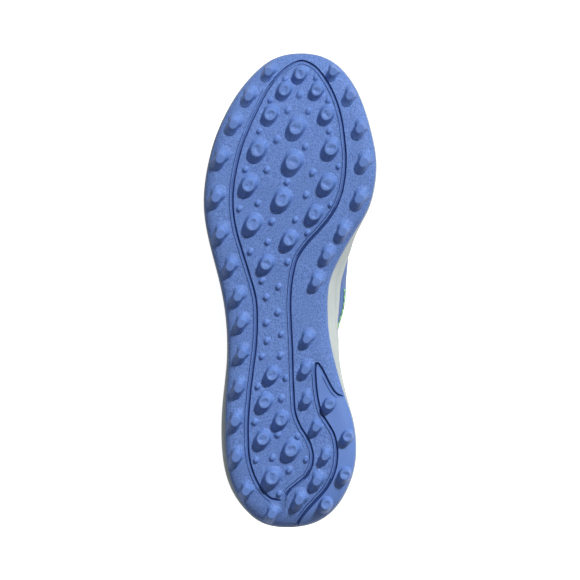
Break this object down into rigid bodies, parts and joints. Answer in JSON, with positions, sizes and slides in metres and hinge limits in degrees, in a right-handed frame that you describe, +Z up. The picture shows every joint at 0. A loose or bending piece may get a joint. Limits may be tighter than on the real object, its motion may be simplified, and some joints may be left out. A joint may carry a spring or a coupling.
{
  "type": "turf shoe",
  "caption": "Low lace-up turf shoe for the right foot with a lugged rubber outsole, foam midsole and knitted upper, lying on its outer side.",
  "frame": {"origin": "centre of the overall box in plan, on the floor that the shoe lies on", "axes": "+Z up from the floor under the shoe's outer side; -X towards the toe; the sole faces -Y and leans back by 12 degrees"},
  "size_m": [0.2992, 0.1284, 0.1086],
  "materials": {
    "rubber_blue": "matte moulded rubber with a fine raised grain",
    "foam_pale": "matte moulded foam",
    "knit_blue": "knitted mesh",
    "film_blue": "satin bonded film",
    "lining_green": "soft brushed lining",
    "cord_pale": "flat woven lace"
  },
  "bodies": {
    "root": {"outsole": "rubber_blue", "midsole": "foam_pale", "upper": "knit_blue", "insole": "lining_green", "tongue": "knit_blue", "toe_cap": "film_blue", "heel_counter": "film_blue", "eyestay": "film_blue", "saddle_lateral": "film_blue", "saddle_medial": "film_blue", "lace_bar_1": "cord_pale", "lace_bar_2": "cord_pale", "lace_bar_3": "cord_pale", "lace_bar_4": "cord_pale", "lace_bar_5": "cord_pale"}
  },
  "joints": []
}
